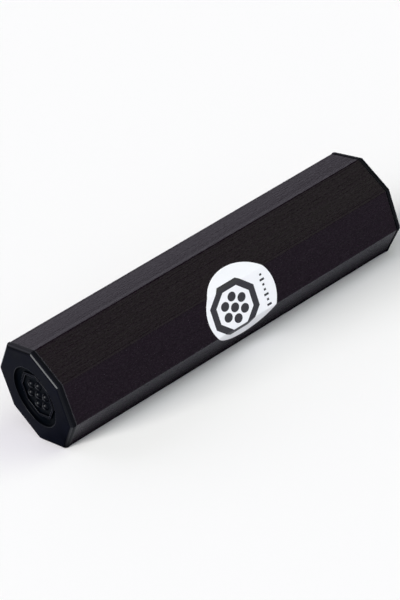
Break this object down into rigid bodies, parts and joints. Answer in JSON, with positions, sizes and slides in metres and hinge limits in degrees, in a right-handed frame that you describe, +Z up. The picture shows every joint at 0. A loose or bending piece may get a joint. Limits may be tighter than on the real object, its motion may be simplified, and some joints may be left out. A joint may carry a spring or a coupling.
{
  "type": "ganza shaker",
  "caption": "Octagonal metal tube shaker, closed by moulded end caps, with a round wrapped label and loose steel shot inside.",
  "frame": {"origin": "middle of the footprint, on the plane the shaker lies on", "axes": "+X along the tube to the right end cap, +Z up from the flat it lies on, -Y out of the flat that carries the middle of the label"},
  "size_m": [0.2, 0.0504, 0.0504],
  "materials": {
    "tube_metal": "satin black anodised, with fine drawn lines along the tube",
    "cap_plastic": "satin moulded black",
    "label_vinyl": "smooth printed vinyl",
    "shot_steel": "bright rolled balls"
  },
  "bodies": {
    "shell": {"tube": "tube_metal", "left_end_cap": "cap_plastic", "right_end_cap": "cap_plastic", "label": "label_vinyl"},
    "shot_row_1_left": {"shot_row_1_left": "shot_steel"},
    "shot_row_1_right": {"shot_row_1_right": "shot_steel"},
    "shot_row_2_left": {"shot_row_2_left": "shot_steel"},
    "shot_row_2_right": {"shot_row_2_right": "shot_steel"},
    "shot_row_3_left": {"shot_row_3_left": "shot_steel"},
    "shot_row_3_right": {"shot_row_3_right": "shot_steel"},
    "shot_row_4_left": {"shot_row_4_left": "shot_steel"},
    "shot_row_4_right": {"shot_row_4_right": "shot_steel"},
    "shot_row_5_left": {"shot_row_5_left": "shot_steel"},
    "shot_row_5_right": {"shot_row_5_right": "shot_steel"},
    "shot_row_6_left": {"shot_row_6_left": "shot_steel"},
    "shot_row_6_right": {"shot_row_6_right": "shot_steel"},
    "shot_row_7_left": {"shot_row_7_left": "shot_steel"},
    "shot_row_7_right": {"shot_row_7_right": "shot_steel"},
    "shot_row_8_left": {"shot_row_8_left": "shot_steel"},
    "shot_row_8_right": {"shot_row_8_right": "shot_steel"},
    "shot_row_9_left": {"shot_row_9_left": "shot_steel"},
    "shot_row_9_right": {"shot_row_9_right": "shot_steel"}
  },
  "joints": [
    {"name": "shot_run", "type": "slide", "parent": "shell", "child": "shot_row_1_left", "axis": [1, 0, 0], "range_m": [-0.022, 0.022]},
    {"name": "shot_throw", "type": "slide", "parent": "shot_row_1_left", "child": "shot_row_1_right", "axis": [0, 0, 1], "range_m": [0, 0.034]},
    {"name": "run_2_left", "type": "slide", "parent": "shot_row_1_right", "child": "shot_row_2_left", "axis": [1, 0, 0], "range_m": [-0.022, 0]},
    {"name": "run_2_right", "type": "slide", "parent": "shot_row_1_right", "child": "shot_row_2_right", "axis": [1, 0, 0], "range_m": [0, 0.022]},
    {"name": "run_3_left", "type": "slide", "parent": "shot_row_1_right", "child": "shot_row_3_left", "axis": [1, 0, 0], "range_m": [-0.022, 0]},
    {"name": "run_3_right", "type": "slide", "parent": "shot_row_1_right", "child": "shot_row_3_right", "axis": [1, 0, 0], "range_m": [0, 0.022]},
    {"name": "run_4_left", "type": "slide", "parent": "shot_row_1_right", "child": "shot_row_4_left", "axis": [1, 0, 0], "range_m": [-0.022, 0]},
    {"name": "run_4_right", "type": "slide", "parent": "shot_row_1_right", "child": "shot_row_4_right", "axis": [1, 0, 0], "range_m": [0, 0.022]},
    {"name": "run_5_left", "type": "slide", "parent": "shot_row_1_right", "child": "shot_row_5_left", "axis": [1, 0, 0], "range_m": [-0.022, 0]},
    {"name": "run_5_right", "type": "slide", "parent": "shot_row_1_right", "child": "shot_row_5_right", "axis": [1, 0, 0], "range_m": [0, 0.022]},
    {"name": "run_6_left", "type": "slide", "parent": "shot_row_1_right", "child": "shot_row_6_left", "axis": [1, 0, 0], "range_m": [-0.022, 0]},
    {"name": "run_6_right", "type": "slide", "parent": "shot_row_1_right", "child": "shot_row_6_right", "axis": [1, 0, 0], "range_m": [0, 0.022]},
    {"name": "run_7_left", "type": "slide", "parent": "shot_row_1_right", "child": "shot_row_7_left", "axis": [1, 0, 0], "range_m": [-0.022, 0]},
    {"name": "run_7_right", "type": "slide", "parent": "shot_row_1_right", "child": "shot_row_7_right", "axis": [1, 0, 0], "range_m": [0, 0.022]},
    {"name": "run_8_left", "type": "slide", "parent": "shot_row_1_right", "child": "shot_row_8_left", "axis": [1, 0, 0], "range_m": [-0.022, 0]},
    {"name": "run_8_right", "type": "slide", "parent": "shot_row_1_right", "child": "shot_row_8_right", "axis": [1, 0, 0], "range_m": [0, 0.022]},
    {"name": "run_9_left", "type": "slide", "parent": "shot_row_1_right", "child": "shot_row_9_left", "axis": [1, 0, 0], "range_m": [-0.022, 0]},
    {"name": "run_9_right", "type": "slide", "parent": "shot_row_1_right", "child": "shot_row_9_right", "axis": [1, 0, 0], "range_m": [0, 0.022]}
  ]
}
